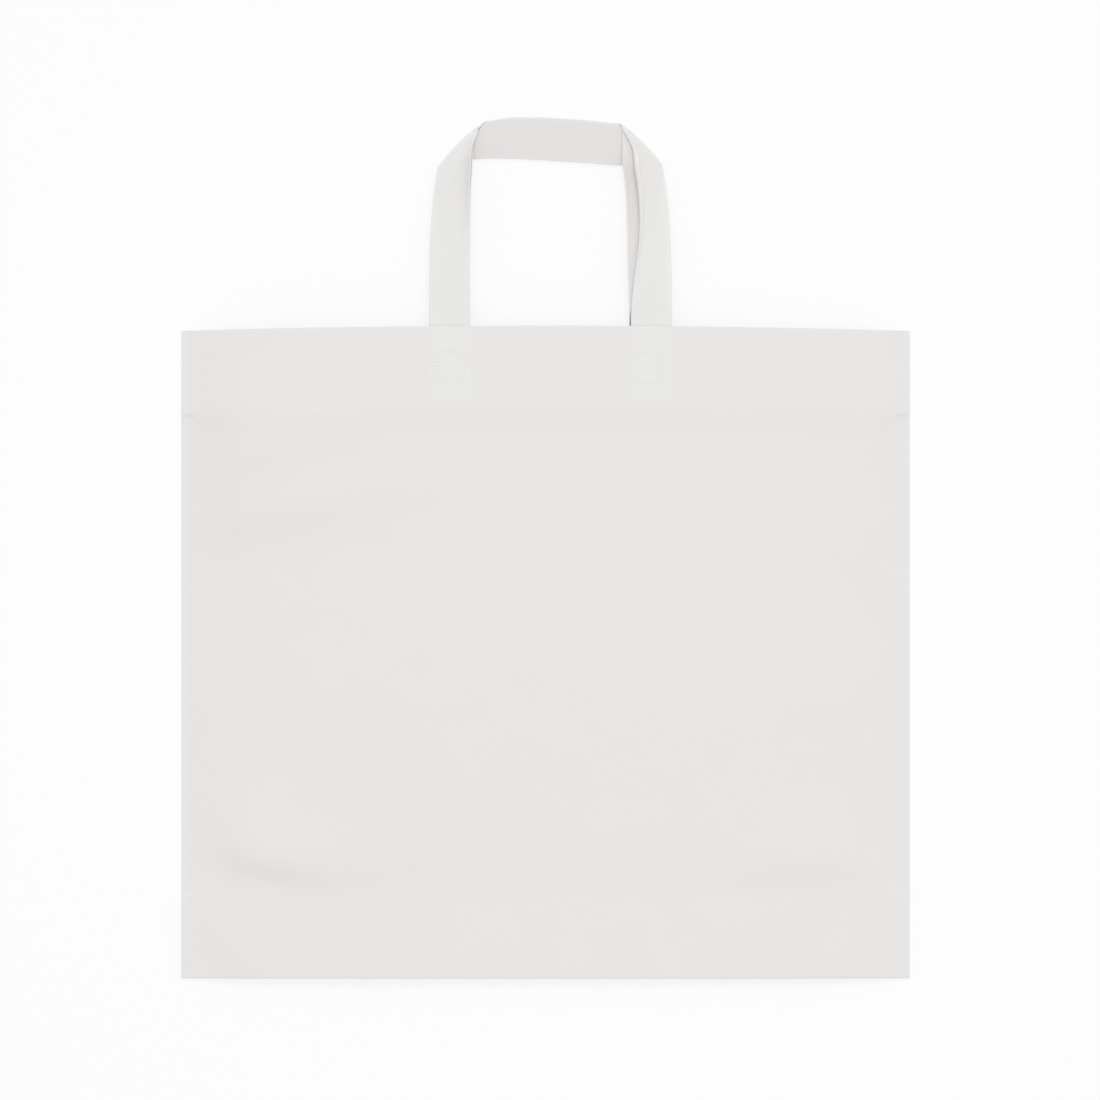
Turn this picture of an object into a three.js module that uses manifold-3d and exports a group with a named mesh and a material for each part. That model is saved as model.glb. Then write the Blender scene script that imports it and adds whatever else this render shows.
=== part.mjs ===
// Landscape carrier bag of spunbond non-woven polypropylene, lying flat on its back.
// Units are millimetres. +X is across the bag, +Y runs from the bottom fold to the loop
// handles, and +Z points up from the table the bag lies on, out of its front panel.
// Three pieces: one folded body and two loop straps that are welded inside its hem.

import * as THREE from 'three';
import { mergeVertices } from 'three/addons/utils/BufferGeometryUtils.js';
import Module from 'manifold-3d';

// The body's blank
const bagWidth = 450;
const bagHeight = 400; // bottom fold to mouth, along the side seams
const mouthCrown = 3; // the middle of the mouth stands this much above its ends
const hemDepth = 50;
const gussetDepth = 50; // the bottom gusset is folded in by this much
const ply = 0.5; // one ply of the fabric
const seamWidth = 5;

// How the empty bag gapes as it lies
const mouthHeight = 12; // outside height of the front panel over the table, at the mouth
const bottomHeight = 6; // the same at the bottom fold
const climbLength = 200; // the front panel climbs from one to the other over this distance
const riseWidth = 60; // distance in from each seam over which the panels part
const plyGap = 0.3; // air between two plies that are folded onto each other
const pressedGap = 0.1; // the same at the side seams
const hemStep = 0.9; // the front panel drops by this just below the hem
const stepLength = 10; // distance over which that drop, and the one at the gusset, fade
const ridgeRadius = 0.9; // half of the opening of the gusset's inner fold

// The straps
const strapWidth = 25;
const strapThickness = 1; // two plies pressed together
const tailMargin = 5; // the welded end inside the hem stops this much short of its edge
const legSpacing = 124.5; // centre to centre of the two legs of a loop
const loopShift = 3; // the loops sit this much to the right of the bag's middle
const rearInset = 1; // the rear strap's right leg is welded this much nearer the left
const legRise = 100.8; // mouth to the lower end of the mitre folds
const legPull = 6; // the outer edges lean in by this at the mitre folds
const leftSlip = 7; // the strap moves along its left mitre fold by this as it goes round
const rightSlip = 2; // and along the right one by this
const seatGap = 0.3; // clearance between a strap and the hem it is welded to
const foldGap = 0.4; // between the two straps along the top stretch
const turnGap = 0.6; // between the rear strap's leg and its own top stretch
const legGap = 1.7; // between the straps where they are legs

// Tilt of each leg in degrees about its length, from the mouth to the mitre fold in four
// equal steps: the edge next to the hand opening stands up.
const frontLeftTilt = [0, 7, 12, 23, 39];
const frontRightTilt = [0, 24, 39, 49, 53];
const rearLeftTilt = [0, 6, 11, 21, 37];
const rearRightTilt = [0, 1, 4, 12, 28];

// How far the top stretch bows up, from its left end to its right one in five equal steps
const topRise = [0, 2.8, 3, 2.3, 1.1, 0.2];

// Soft folds of the front panel: middle, from the bag's middle line and the bottom fold,
// direction in degrees from +X, length, width, and height at the middle
const softFolds = [
  { x: -170, y: 320, turn: 20, length: 90, width: 22, height: -1.1 },
  { x: -150, y: 283, turn: 8, length: 140, width: 26, height: -1.0 },
  { x: -188, y: 195, turn: 88, length: 110, width: 24, height: -0.9 },
  { x: -60, y: 170, turn: 75, length: 160, width: 40, height: 0.9 },
  { x: 70, y: 245, turn: 100, length: 180, width: 45, height: -0.8 },
  { x: 160, y: 205, turn: 82, length: 140, width: 35, height: 0.7 },
  { x: -195, y: 72, turn: 12, length: 90, width: 16, height: -1.2 },
  { x: 185, y: 66, turn: -8, length: 90, width: 14, height: -1.1 },
];

// Facets
const foldSteps = 6; // facets round a fold
const bodyStations = 24; // sections across the bag
const stationGather = 0.6; // how much closer together they are near the seams
const legSteps = 12;
const topSteps = 12;
const acrossSteps = 3; // facets across a strap
const seamOverlap = 2; // how far the lofted plies run into each seam
const seamProud = 0.05; // how far a seam's face stands proud of the plies in it
const shortFacets = 3; // facets along a hem, half a gusset or a step
const panelFacets = 12; // facets along the front panel, from step to step
const leanPower = 4; // the legs lean in mostly near the mitre folds
const settlePower = 3; // and their inner edges meet the fold line late

const halfWidth = bagWidth / 2;
const bottomY = 0;
const seamMouthY = bottomY + bagHeight;

const smooth = (a, b, x) => THREE.MathUtils.smoothstep(x, a, b);
const lerp = THREE.MathUtils.lerp;

// A closed slab of even thickness about a grid of points on its middle surface.
// Rows run one way and columns the other; row by column turns towards its first face.
function slab(grid, thickness) {
  const rows = grid.length;
  const columns = grid[0].length;
  const points = [];
  const along = new THREE.Vector3();
  const across = new THREE.Vector3();
  for (let side = 1; side >= -1; side -= 2) {
    for (let i = 0; i < rows; i += 1) {
      for (let j = 0; j < columns; j += 1) {
        along.subVectors(grid[Math.min(i + 1, rows - 1)][j], grid[Math.max(i - 1, 0)][j]);
        across.subVectors(grid[i][Math.min(j + 1, columns - 1)], grid[i][Math.max(j - 1, 0)]);
        const normal = along.clone().cross(across).normalize();
        points.push(grid[i][j].clone().addScaledVector(normal, (side * thickness) / 2));
      }
    }
  }
  const index = [];
  const quad = (a, b, c, d) => index.push(a, b, c, a, c, d);
  const at = (i, j) => i * columns + j;
  const under = rows * columns;
  for (let i = 0; i < rows - 1; i += 1) {
    for (let j = 0; j < columns - 1; j += 1) {
      const corners = [at(i, j), at(i + 1, j), at(i + 1, j + 1), at(i, j + 1)];
      quad(...corners);
      quad(...corners.map((k) => k + under).reverse());
    }
    const last = columns - 1;
    quad(at(i + 1, 0), at(i, 0), at(i, 0) + under, at(i + 1, 0) + under);
    quad(at(i, last), at(i + 1, last), at(i + 1, last) + under, at(i, last) + under);
  }
  for (let j = 0; j < columns - 1; j += 1) {
    const last = rows - 1;
    quad(at(0, j), at(0, j + 1), at(0, j + 1) + under, at(0, j) + under);
    quad(at(last, j + 1), at(last, j), at(last, j) + under, at(last, j + 1) + under);
  }
  const geometry = new THREE.BufferGeometry();
  geometry.setAttribute(
    'position',
    new THREE.Float32BufferAttribute(points.flatMap((p) => p.toArray()), 3),
  );
  geometry.setIndex(index);
  return geometry;
}

// Body

// 0 at the side seams, 1 where the panels lie fully apart.
const opening = (x) => smooth(0, riseWidth, halfWidth - seamWidth - Math.abs(x));
const mouthY = (x) => seamMouthY + mouthCrown * (1 - (x / halfWidth) ** 2);
const hemY = (x) => mouthY(x) - hemDepth;
const ridgeY = bottomY + gussetDepth;
const pitch = (x) => ply + lerp(pressedGap, plyGap, opening(x));
const backZ = ply / 2;

// How far the front panel has come down off the hem and the gusset, from 0 to 1.
const betweenSteps = (x, y) =>
  (1 - smooth(hemY(x) - stepLength, hemY(x), y)) * smooth(ridgeY, ridgeY + stepLength, y);

function softRelief(x, y) {
  let height = 0;
  for (const fold of softFolds) {
    const turn = THREE.MathUtils.degToRad(fold.turn);
    const dx = x - fold.x;
    const dy = y - bottomY - fold.y;
    const u = (dx * Math.cos(turn) + dy * Math.sin(turn)) / (fold.length / 2);
    const v = (dy * Math.cos(turn) - dx * Math.sin(turn)) / (fold.width / 2);
    height += fold.height * Math.exp(-(u * u) - v * v);
  }
  return height * (1 - smooth(hemY(x) - 2 * stepLength, hemY(x), y));
}

// Middle of the front panel's ply. In a seam it lies on three more plies at the hem and the
// gusset, and on one between them.
function frontZ(x, y) {
  const between = betweenSteps(x, y);
  const pressed = backZ + lerp(3, 1, between) * pitch(x);
  const climb = Math.sin((Math.PI / 2) * Math.min((y - bottomY) / climbLength, 1));
  const free = lerp(bottomHeight, mouthHeight, climb) - ply / 2 - hemStep * between;
  return lerp(pressed, free, opening(x)) + opening(x) * softRelief(x, y);
}

// Points of a half-turn fold from one ply to the next, about (y, z), with its bulge
// towards +Y (side 1) or -Y (side -1); turn is 1 if the path comes in on the lower ply.
function halfTurn(x, y, z, radius, side, turn) {
  const points = [];
  for (let k = 1; k < foldSteps; k += 1) {
    const angle = (Math.PI * k) / foldSteps;
    const dy = side * radius * Math.sin(angle);
    const dz = -turn * radius * Math.cos(angle);
    points.push(new THREE.Vector3(x, y + dy, z + dz));
  }
  return points;
}

// The blank's path round the bag at one section: front hem, front panel, gusset, back
// panel, rear hem.
function sectionPath(x) {
  const gap = pitch(x);
  const fold = gap / 2;
  const edge = fold + ply / 2;
  const mouth = mouthY(x) - edge;
  const bottom = bottomY + edge;
  const ridge = lerp(fold, ridgeRadius, opening(x));
  const ridgeMiddle = (backZ + frontZ(x, ridgeY)) / 2;
  const ridgeEnd = ridgeY - ridge - ply / 2;
  const path = [];
  // Points from one distance up the bag to another, leaving out a first one already there.
  const run = (from, to, count, height, first = 0) => {
    for (let k = first; k <= count; k += 1) {
      const y = lerp(from, to, k / count);
      path.push(new THREE.Vector3(x, y, height(y)));
    }
  };
  const half = (y, z, radius, side, turn) => path.push(...halfTurn(x, y, z, radius, side, turn));
  const gussetHeight = (atBottom, atRidge) => (y) =>
    lerp(atBottom, atRidge, (y - bottom) / (ridgeEnd - bottom));
  const panel = (y) => frontZ(x, y);
  const hemEnd = hemY(x);
  const gussetEnd = ridgeY + stepLength;

  run(hemEnd, mouth, shortFacets, (y) => frontZ(x, y) - gap);
  half(mouth, frontZ(x, mouth) - fold, fold, 1, 1);
  run(mouth, hemEnd, shortFacets, panel);
  run(hemEnd, hemEnd - stepLength, shortFacets, panel, 1);
  run(hemEnd - stepLength, gussetEnd, panelFacets, panel, 1);
  run(gussetEnd, ridgeY, shortFacets, panel, 1);
  run(ridgeY, bottom, shortFacets, panel, 1);
  half(bottom, frontZ(x, bottom) - fold, fold, -1, -1);
  const frontHalf = gussetHeight(frontZ(x, bottom) - gap, ridgeMiddle + ridge);
  run(bottom, ridgeEnd, shortFacets, frontHalf);
  half(ridgeEnd, ridgeMiddle, ridge, 1, -1);
  const rearHalf = gussetHeight(backZ + gap, ridgeMiddle - ridge);
  run(ridgeEnd, bottom, shortFacets, rearHalf);
  half(bottom, backZ + fold, fold, -1, -1);
  run(bottom, mouth, shortFacets, () => backZ);
  half(mouth, backZ + fold, fold, 1, 1);
  run(mouth, hemEnd, shortFacets, () => backZ + gap);
  return path;
}

// A side seam: all the plies welded into one strip, thicker at the hem and the gusset.
function seamStrip(side) {
  const inner = halfWidth - seamWidth;
  const top = (y) => frontZ(side * inner, y) + ply / 2 + seamProud;
  const hem = hemY(halfWidth);
  const outline = [
    new THREE.Vector2(bottomY, 0),
    new THREE.Vector2(seamMouthY, 0),
    new THREE.Vector2(seamMouthY, top(seamMouthY)),
    new THREE.Vector2(hem, top(hem)),
    new THREE.Vector2(hem - stepLength, top(hem - stepLength)),
    new THREE.Vector2(ridgeY + stepLength, top(ridgeY + stepLength)),
    new THREE.Vector2(ridgeY, top(ridgeY)),
    new THREE.Vector2(bottomY, top(bottomY)),
  ];
  const settings = { depth: seamWidth, bevelEnabled: false };
  const strip = new THREE.ExtrudeGeometry(new THREE.Shape(outline), settings);
  const toSide = new THREE.Matrix4().makeBasis(
    new THREE.Vector3(0, 1, 0),
    new THREE.Vector3(0, 0, 1),
    new THREE.Vector3(1, 0, 0),
  );
  strip.applyMatrix4(toSide);
  strip.translate(side > 0 ? inner : -halfWidth, 0, 0);
  return strip;
}

const wasm = await Module();
wasm.setup();

function toManifold(geometry) {
  const bare = geometry.clone();
  bare.deleteAttribute('normal');
  bare.deleteAttribute('uv');
  const merged = mergeVertices(bare);
  return new wasm.Manifold(
    new wasm.Mesh({
      numProp: 3,
      vertProperties: new Float32Array(merged.attributes.position.array),
      triVerts: new Uint32Array(merged.index.array),
    }),
  );
}

function toGeometry(solid) {
  const mesh = solid.getMesh();
  const geometry = new THREE.BufferGeometry();
  geometry.setAttribute('position', new THREE.BufferAttribute(mesh.vertProperties, 3));
  geometry.setIndex(new THREE.BufferAttribute(mesh.triVerts, 1));
  return geometry;
}

function bodyGeometry() {
  const reach = halfWidth - seamWidth + seamOverlap;
  const grid = [];
  for (let i = 0; i <= bodyStations; i += 1) {
    const u = lerp(-1, 1, i / bodyStations);
    grid.push(sectionPath(reach * lerp(u, Math.sin((u * Math.PI) / 2), stationGather)));
  }
  const plies = toManifold(slab(grid, ply));
  const left = toManifold(seamStrip(-1));
  const right = toManifold(seamStrip(1));
  return toGeometry(plies.add(left).add(right));
}

// Straps

// Heights of the middle of each strap over the table, from the lowest layer up: at the
// mitre folds both straps turn back together, so the front strap ends up underneath.
const frontTopZ = strapThickness / 2;
const rearTopZ = frontTopZ + strapThickness + foldGap;
const rearLegZ = rearTopZ + strapThickness + turnGap;
const frontLegZ = rearLegZ + strapThickness + legGap;
const hemInner = plyGap + 2 * ply;
const rearTailZ = hemInner + seatGap + strapThickness / 2;
const frontTailZ = mouthHeight - rearTailZ;

// A smooth curve through even steps, read at a fraction of its length.
function smoothSteps(steps, fraction) {
  const curve = new THREE.SplineCurve(steps.map((value, k) => new THREE.Vector2(k, value)));
  return curve.getPoint(fraction).y;
}

// One leg of a loop: its outer edge at the mouth, which way the hand opening lies, and the
// line its mitre fold turns about. The fold's outside runs up from where the edge leans to.
function legPlan(side, inset) {
  const middle = loopShift + (side * legSpacing) / 2 - inset;
  const inward = -side;
  const outerX = middle - (inward * strapWidth) / 2;
  const baseY = mouthY(middle);
  const outward = new THREE.Vector2(-inward, 1).normalize();
  const upward = new THREE.Vector2(inward, 1).normalize();
  const slip = side > 0 ? rightSlip : leftSlip;
  const ends = [0, strapWidth].map((step) =>
    new THREE.Vector2(outerX + inset + inward * (legPull + step), baseY + legRise + step)
      .addScaledVector(outward, -(frontLegZ - frontTopZ + strapThickness) / 2)
      .addScaledVector(upward, -slip / 2),
  );
  return { inward, outerX, baseY, outward, upward, slip, low: ends[0], high: ends[1] };
}

// Rows of a leg from the tail's end to the mitre fold, outer edge first.
function legRows(plan, tilts, tailZ, cornerZ) {
  const { inward, outerX, baseY, low, high } = plan;
  const edgePoint = (y, atInner) => {
    const fraction = THREE.MathUtils.clamp((y - baseY) / (low.y - baseY), 0, 1);
    const settle = smooth(low.y, high.y, y);
    const tilt = THREE.MathUtils.degToRad(smoothSteps(tilts, fraction));
    const x = lerp(outerX, low.x, fraction ** leanPower);
    const z = lerp(tailZ, cornerZ, smooth(0, 1, fraction));
    if (!atInner) return new THREE.Vector3(x, y, z);
    const tilted = x + inward * strapWidth * Math.cos(tilt);
    const lift = strapWidth * Math.sin(tilt) * (1 - settle);
    return new THREE.Vector3(lerp(tilted, high.x, settle ** settlePower), y, z + lift);
  };
  const tailY = baseY - (hemDepth - tailMargin);
  const rows = [[edgePoint(tailY, false), edgePoint(tailY, true)]];
  for (let k = 0; k <= legSteps; k += 1) {
    const t = k / legSteps;
    const outer = edgePoint(lerp(baseY, low.y, t), false);
    const inner = edgePoint(lerp(baseY, high.y, t), true);
    rows.push([outer, inner]);
  }
  return rows;
}

// Rows round a mitre fold, from the leg's level down to the top stretch's.
function mitreRows(plan, cornerZ, topZ) {
  const radius = (cornerZ - topZ) / 2;
  const rows = [];
  for (let k = 1; k < foldSteps; k += 1) {
    const turned = k / foldSteps;
    const angle = Math.PI * turned;
    const place = (end) => {
      const p = end
        .clone()
        .addScaledVector(plan.outward, radius * Math.sin(angle))
        .addScaledVector(plan.upward, plan.slip * turned);
      return new THREE.Vector3(p.x, p.y, topZ + radius * (1 + Math.cos(angle)));
    };
    rows.push([place(plan.low), place(plan.high)]);
  }
  return rows;
}

// Rows of the top stretch, from the left mitre fold to the right one, lower edge first.
function topRows(left, right, topZ) {
  const rows = [];
  for (let k = 0; k <= topSteps; k += 1) {
    const t = k / topSteps;
    const place = (end) => {
      const a = left[end].clone().addScaledVector(left.upward, left.slip);
      const b = right[end].clone().addScaledVector(right.upward, right.slip);
      const p = a.lerp(b, t);
      return new THREE.Vector3(p.x, p.y + smoothSteps(topRise, t), topZ);
    };
    rows.push([place('low'), place('high')]);
  }
  return rows;
}

function strapGeometry(leftTilt, rightTilt, inset, tailZ, cornerZ, topZ) {
  const left = legPlan(-1, 0);
  const right = legPlan(1, inset);
  const rows = [
    ...legRows(left, leftTilt, tailZ, cornerZ),
    ...mitreRows(left, cornerZ, topZ),
    ...topRows(left, right, topZ),
    ...mitreRows(right, cornerZ, topZ).reverse(),
    ...legRows(right, rightTilt, tailZ, cornerZ).reverse(),
  ];
  const grid = rows.map(([outer, inner]) =>
    Array.from({ length: acrossSteps + 1 }, (_, j) => outer.clone().lerp(inner, j / acrossSteps)),
  );
  return slab(grid, strapThickness);
}

// Materials and scene

const fabric = (name, colour) =>
  new THREE.MeshStandardMaterial({ name, color: colour, roughness: 0.9, metalness: 0 });

function addPiece(parent, name, geometry, material) {
  const mesh = new THREE.Mesh(geometry, material);
  mesh.name = name;
  parent.add(mesh);
}

const bag = new THREE.Group();
addPiece(bag, 'bag_body', bodyGeometry(), fabric('body_fabric', '#e8e7e5'));
addPiece(
  bag,
  'front_handle',
  strapGeometry(frontLeftTilt, frontRightTilt, 0, frontTailZ, frontLegZ, frontTopZ),
  fabric('front_strap_fabric', '#e6e5e3'),
);
addPiece(
  bag,
  'rear_handle',
  strapGeometry(rearLeftTilt, rearRightTilt, rearInset, rearTailZ, rearLegZ, rearTopZ),
  fabric('rear_strap_fabric', '#e3e2e0'),
);

// The origin is at the middle of the space the bag takes up on the table.
const space = new THREE.Box3().setFromObject(bag, true);
const middle = space.getCenter(new THREE.Vector3());
bag.position.set(-middle.x, -middle.y, -space.min.z);

export default bag;
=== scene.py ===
"""A white carrier bag of spunbond non-woven polypropylene, lying flat on a pale table.

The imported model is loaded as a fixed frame, and three finer pieces stand for its nodes:
the folded body and its two loop straps. Sizes inside the functions are millimetres, with
y measured up the bag from its bottom fold and z up from the table, and the stage's are
metres in the frame of the model.
"""

import math

import bmesh
import bpy
import numpy as np
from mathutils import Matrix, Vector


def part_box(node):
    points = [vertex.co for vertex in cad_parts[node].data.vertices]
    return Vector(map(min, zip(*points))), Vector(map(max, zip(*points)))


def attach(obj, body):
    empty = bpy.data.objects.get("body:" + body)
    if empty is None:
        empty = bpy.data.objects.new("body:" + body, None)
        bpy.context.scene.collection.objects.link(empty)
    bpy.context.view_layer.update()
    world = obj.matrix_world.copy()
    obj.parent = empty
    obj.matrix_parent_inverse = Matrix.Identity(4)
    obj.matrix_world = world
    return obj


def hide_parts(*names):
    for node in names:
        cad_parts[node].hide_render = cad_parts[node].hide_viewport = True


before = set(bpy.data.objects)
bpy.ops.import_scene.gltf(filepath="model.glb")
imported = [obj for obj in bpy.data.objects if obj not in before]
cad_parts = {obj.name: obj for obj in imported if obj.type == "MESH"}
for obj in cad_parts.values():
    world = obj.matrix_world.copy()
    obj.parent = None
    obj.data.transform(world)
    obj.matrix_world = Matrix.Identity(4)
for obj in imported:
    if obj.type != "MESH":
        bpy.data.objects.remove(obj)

bl_info = {
    "name": "Non-woven Carrier Bag",
    "version": (1, 0, 0),
    "blender": (4, 5, 0),
    "location": "3D View > Sidebar > Carrier Bag",
    "description": "Builds a flat-lying non-woven carrier bag with loop straps",
    "category": "Object",
}

MM = 0.001
BODY_LOW, BODY_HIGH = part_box("bag_body")
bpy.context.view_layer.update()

# The front panel's height: it rises past the gusset's ridge, climbs on until CLIMB_END
# above the bottom fold, and drops below the hem's inner edge, each over its own length.
RIDGE_RISE = 1.5
RIDGE_STEP = 34.0
CLIMB_END = 200.0
HEM_DROP = 1.3
HEM_STEP = 17.0

# Where the hems or the gusset lie between the panels, the front ply is this many plies
# above the back one. Past their edges it comes down to one, over SEAM_STEP at the seams
# and over the two longer steps from LOOSE_WIDTH in.
FOLDED_PLIES = 3
SEAM_STEP = 5.0
LOOSE_WIDTH = 12.0

# The gap between two plies, free and pressed at a seam, the radius of the gusset's ridge,
# and the power of the curve by which the panels part from the seams inwards
PLY_GAP = 0.3
PRESSED_GAP = 0.1
RIDGE_RADIUS = 0.9
PILLOW = 2.5

# Soft folds of the front panel, where it stands up on the left of a line and falls away
# over the line to its right: the line's middle (x from the bag's middle line, y), its
# direction in degrees from +X, its length, the width of the fall, and the height.
SOFT_FOLDS = (
    (-170, 321, 18, 130, 36, 4.4),
    (-180, 274, 12, 90, 34, 2.4),
    (-140, 284, 11, 140, 36, 2.4),
    (-188, 184, -82, 100, 34, 1.2),
    (-194, 72, -16, 76, 30, 4.0),
    (-160, 64, -8, 90, 18, 2.0),
    (-160, 32, -30, 80, 30, 0.9),
    (-205, 15, -42, 60, 24, 2.2),
    (158, 63, 6, 80, 18, 1.9),
    (204, 60, -4, 40, 14, 0.8),
    (47, 87, 14, 40, 14, 0.5),
    (116, 27, 20, 36, 14, 0.5),
    (200, 318, -62, 44, 18, 1.0),
    (190, 252, -30, 80, 26, 0.8),
    (188, 160, 10, 70, 24, 0.7),
    (-175, 394, 6, 110, 20, 0.8),
)

# How sharply a fold falls, over how many half widths of the fall its height fades again,
# and how far in from the seams the folds reach their full height
FOLD_SHARPNESS = 1.5
FOLD_FADE = 3.6
FOLD_MARGIN = 36.0

# The parts of the cut blank, in order from the front hem's raw edge to the rear hem's,
# and how many rows of faces each of them takes
(
    FRONT_HEM, FRONT_LIP, OVER_HEM, HEM_FALL, PANEL, RIDGE_FALL, OVER_GUSSET, FRONT_BEND,
    GUSSET_UPPER, RIDGE, GUSSET_LOWER, BACK_BEND, BACK, BACK_LIP, REAR_HEM,
) = range(15)
PART_ROWS = (6, 8, 10, 5, 56, 5, 10, 8, 8, 8, 8, 8, 80, 8, 6)

# Lines down the blank: even ones that end SEAM_MARGIN inside the seams, and one on each
# side of a seam's weld dashes, at SEAM_BAND from their middle
EVEN_LINES = 87
SEAM_MARGIN = 5.0
SEAM_BAND = 2.0

# How far round a weld print the body's faces are made finer, and how far either side of
# a point the slope of the fabric is taken
PRINT_MARGIN = 1.0
SLOPE_REACH = 0.3

# What lies right behind the fabric makes it a little lighter, as painted light for what
# would show back through the thin ply: plies of the hem or the gusset, as a share of what a
# strap's tail does. It shows softly at the edges of a tail and of the hem, and over these
# distances below and above the gusset's ridge.
PLY_BACKING = 0.1
TAIL_BLUR = 0.5
HEM_BLUR = 1.0
RIDGE_BLUR = (3.0, 1.0)

# A weld mark is pressed to its full depth up to the first share of its half width from
# its middle line, and ends at the second. A print's corner has this many points, and a
# point with no place on the panels is put this many metres away from every mark.
PRESS_FULL = 0.45
PRESS_END = 1.35
CORNER_POINTS = 8
FAR_AWAY = 1.0

# The gaps between the straps' layers at the mitre folds, from the table up: between the
# front and the rear loop's top, the rear loop's top and leg, and the rear and front leg
TOP_GAP = 0.2
TURN_GAP = 0.25
LEG_GAP = 0.5

# The tails: how high they lie inside the rear hem and how far under the mouth's top
# inside the front one, and how far they end from the hem's raw edge
TAIL_LEVEL = 2.1
TAIL_MARGIN = 5.0

# At each mitre fold: how far the top is slipped along the fold's line, how far the leg
# leans inwards on its way there, and how high its turned-up edge stands there, as a share
# of what its curl gives
LEFT_SLIP = 7.0
RIGHT_SLIP = 2.0
LEFT_PULL = 6.0
RIGHT_PULL = 4.8
LEFT_LIFT = 1.38
RIGHT_LIFT = 0.8

# That share of the curl's height lower down, up to LIFT_FROM of the leg's length, and how
# late on its way up the leg leans inwards
MIDDLE_LIFT = 0.5
LIFT_FROM = 0.5
LEAN_POWER = 3.5

# The rear loop against the front one: how far inwards its right leg stands at the mouth,
# how far that leg bows inwards, how far the top sags, and how far both legs are raised
# above the mouth
REAR_INSET = 1.0
REAR_BOW = 2.0
REAR_SAG = 1.2
REAR_HUG = 6.7

# Over what shares of a leg's or the top's length these set in and go again, and what
# share of the bow goes
BOW_IN = (0, 0.5)
BOW_OUT = (0.6, 1)
BOW_LOSS = 0.6
SAG_IN = (0.1, 0.6)
SAG_OUT = (0.8, 1)
HUG_IN = (0, 0.1)
HUG_OUT = (0, 1)

# How far the top's upper and lower edges rise over straight lines, at even steps
UPPER_RISE = (0, 2.6, 3.1, 2.6, 1.7, 0.3)
LOWER_RISE = (0, 2.4, 2.8, 2, 0.4, 0)

# How far each leg's inner edge is turned up, in degrees, at even steps from the mouth to
# the mitre fold, how late across the strap it turns, and in how many steps that is added
FRONT_LEFT_CURL = (0, 16, 34, 60, 98)
FRONT_RIGHT_CURL = (0, 57, 114, 155, 168)
REAR_LEFT_CURL = (0, 14, 29, 55, 86)
REAR_RIGHT_CURL = (0, 30, 50, 56, 50)
LATE_CURL = 3
CURL_STEPS = 100

# Where the turned-up edge lies down again at a mitre fold, as shares of the strap's width
LEFT_SETTLE = (0.35, 0.95)
RIGHT_SETTLE = (0.0, 1.0)

# How much of its reach a mitre fold has at the strap's edges, and over what share of the
# strap's width it gains the rest
CORNER_REACH = 0.3
CORNER_SHARE = 0.3

# Points across a strap: first those at its rounded edge, and then even ones. Rows along
# it: in each tail, leg and mitre fold and in the top
EDGE_POINTS = (0.0, 0.1, 0.3, 0.7)
ACROSS_STEP = 1.5
TAIL_ROWS = 8
LEG_ROWS = 60
MITRE_ROWS = 12
TOP_ROWS = 60

# The fabric's patterns, in millimetres: strands of fibres where they bunch, and clouds
# of the web's uneven laydown
FIBRE_SPACING = 0.5
CLOUD_SIZE = 31.25

# A bond point's flat middle and its edge, as shares of the bond pitch from its centre,
# and the height of the embossed grain in millimetres and how much of it shows
BOND_FLAT = 0.16
BOND_EDGE = 0.38
GRAIN_HEIGHT = 0.1
GRAIN_STRENGTH = 0.18

# How much darker and lighter the clouds and the fibres make the fabric, and how much of
# the melted film's colour shows in a weld mark
CLOUD_TONE = 0.003
FIBRE_TONE = 0.005
FILM_SHARE = 0.22

# Roughness of the open fabric and of melted film, and how much of the light that meets
# the body and the straps spreads inside them
FABRIC_ROUGHNESS = 0.82
FILM_ROUGHNESS = 0.45
BODY_SOFTNESS = 0.0
STRAP_SOFTNESS = 0.5

# The table: how far it reaches and how far below the bag it lies, in metres, the share
# of light it gives back, and what the camera sees of it, where a quarter of its
# brightness is paint that takes a shadow and the rest is a glow
TABLE_REACH = 4.0
TABLE_DROP = 0.0002
FLOOR_BOUNCE = 0.88
FLOOR_SEEN = 0.25
FLOOR_GLOW = 0.744

# The lights, as shares of the light that falls on the table, adding up to 1. The soft
# key lamp stands beyond the loops, and its angles and how wide it looks are in degrees.
# The square lamp above has its size and place in metres.
SKY_SHARE = 0.68
KEY_SHARE = 0.17
KEY_ELEVATION = 50
KEY_AZIMUTH = 88
KEY_WIDTH = 25
ABOVE_SHARE = 0.15
ABOVE_SIZE = 1.0
ABOVE_X = 0.09
ABOVE_Y = 0.04
ABOVE_HEIGHT = 1.2

# The picture, in pixels: its width and height, how much of it the body's width takes,
# and where the middle of the bag's space shows
PICTURE_SIZE = 1100
BODY_PIXELS = 728
MIDDLE_COLUMN = 545.5
MIDDLE_ROW = 548.25

# The camera: its height and how far it sees, in metres, and its sensor in millimetres
CAMERA_HEIGHT = 5.0
CAMERA_LIMIT = 100
SENSOR_WIDTH = 36


def smooth(a, b, x):
    """0 up to a, 1 from b on, and an even S between them."""
    t = np.clip((x - a) / (b - a), 0, 1)
    return t * t * (3 - 2 * t)


def lerp(a, b, t):
    """The value that lies the share t of the way from a to b."""
    return a + (b - a) * t


def linear(code):
    """A colour written as sRGB hex, as linear red, green, blue and alpha."""
    parts = [int(code[k : k + 2], 16) / 255 for k in (1, 3, 5)]
    return [p / 12.92 if p <= 0.04045 else ((p + 0.055) / 1.055) ** 2.4 for p in parts] + [1]


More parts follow.
